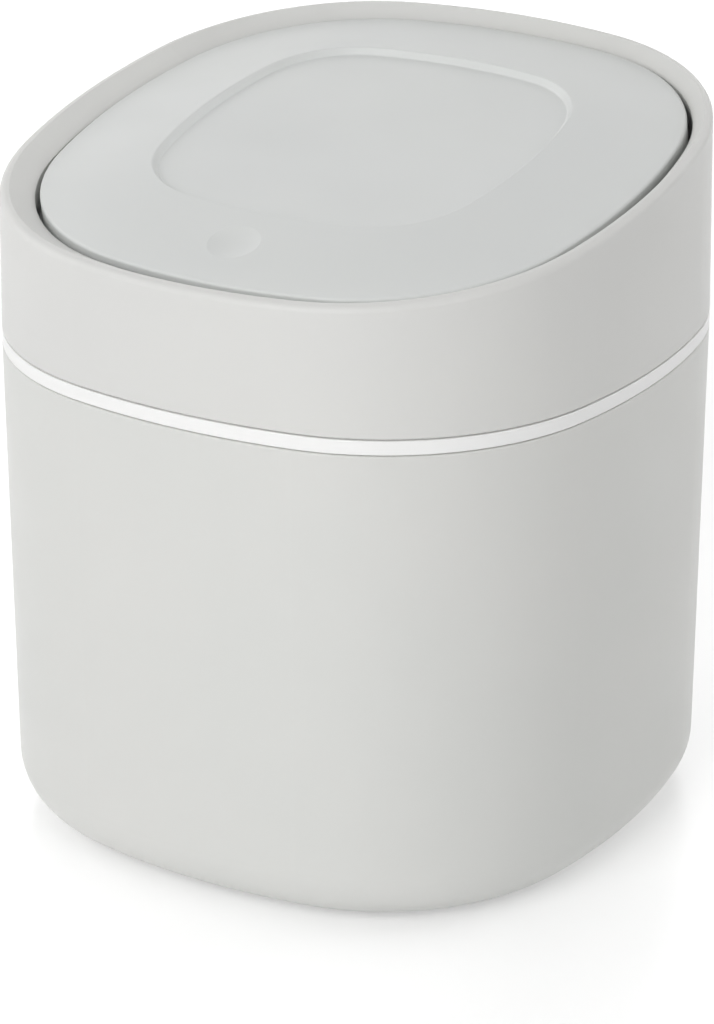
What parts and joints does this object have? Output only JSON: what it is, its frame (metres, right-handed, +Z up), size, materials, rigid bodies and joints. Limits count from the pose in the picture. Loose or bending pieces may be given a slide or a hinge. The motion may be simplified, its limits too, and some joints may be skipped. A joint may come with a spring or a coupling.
{
  "type": "push top countertop bin",
  "caption": "Small countertop waste bin with a press-to-open hinged lid in a sloped lift-off collar, and a removable inner liner.",
  "frame": {"origin": "middle of the footprint, at the bottom of the foot pads", "axes": "+Z up; the front with the finger dimple faces -Y; the hinge is at +Y; +X to the right seen from the front"},
  "size_m": [0.16, 0.16, 0.1793],
  "materials": {
    "body_shell": "fine matt moulded texture, pale warm grey",
    "collar_shell": "fine matt moulded texture, pale warm grey",
    "lid": "satin moulded plastic, pale cool grey",
    "lid_pan": "satin moulded plastic, pale grey",
    "liner": "smooth white moulded plastic",
    "frame": "satin moulded plastic, pale grey",
    "latch_plastic": "natural white acetal",
    "pads": "soft dark grey rubber",
    "steel": "drawn steel",
    "spring": "spring steel wire",
    "screws": "zinc plated"
  },
  "bodies": {
    "outer_bin": {"outer_body": "body_shell", "foot_pad_1": "pads", "foot_pad_2": "pads", "foot_pad_3": "pads", "foot_pad_4": "pads"},
    "liner": {"inner_liner": "liner"},
    "collar": {"collar_shell": "collar_shell", "collar_frame": "frame", "frame_screws": "screws", "hinge_pin": "steel", "torsion_spring_left": "spring", "torsion_spring_right": "spring", "latch_housing": "latch_plastic", "latch_screws": "screws", "latch_cam_pin": "spring", "latch_spring": "spring"},
    "latch_plunger": {"latch_plunger": "latch_plastic"},
    "lid": {"lid_top_panel": "lid", "lid_inner_pan": "lid_pan", "lid_screws": "screws", "latch_strike": "latch_plastic"}
  },
  "joints": [
    {"name": "liner_lift", "type": "slide", "parent": "outer_bin", "child": "liner", "axis": [0, 0, 1], "range_m": [0, 0.13]},
    {"name": "collar_lift", "type": "slide", "parent": "liner", "child": "collar", "axis": [0, 0, 1], "range_m": [0, 0.06]},
    {"name": "lid_hinge", "type": "hinge", "parent": "collar", "child": "lid", "pos_m": [0, 0.05521, 0.17119], "axis": [-1, 0, 0], "range_deg": [-1.1, 80]},
    {"name": "latch_slide", "type": "slide", "parent": "collar", "child": "latch_plunger", "axis": [0, -0.1547, 0.988], "range_m": [-0.0024, 0.0061]}
  ],
  "couplings": [
    {"joint": "latch_slide", "follows": "lid_hinge", "m_per_rad": 0.0042972}
  ]
}
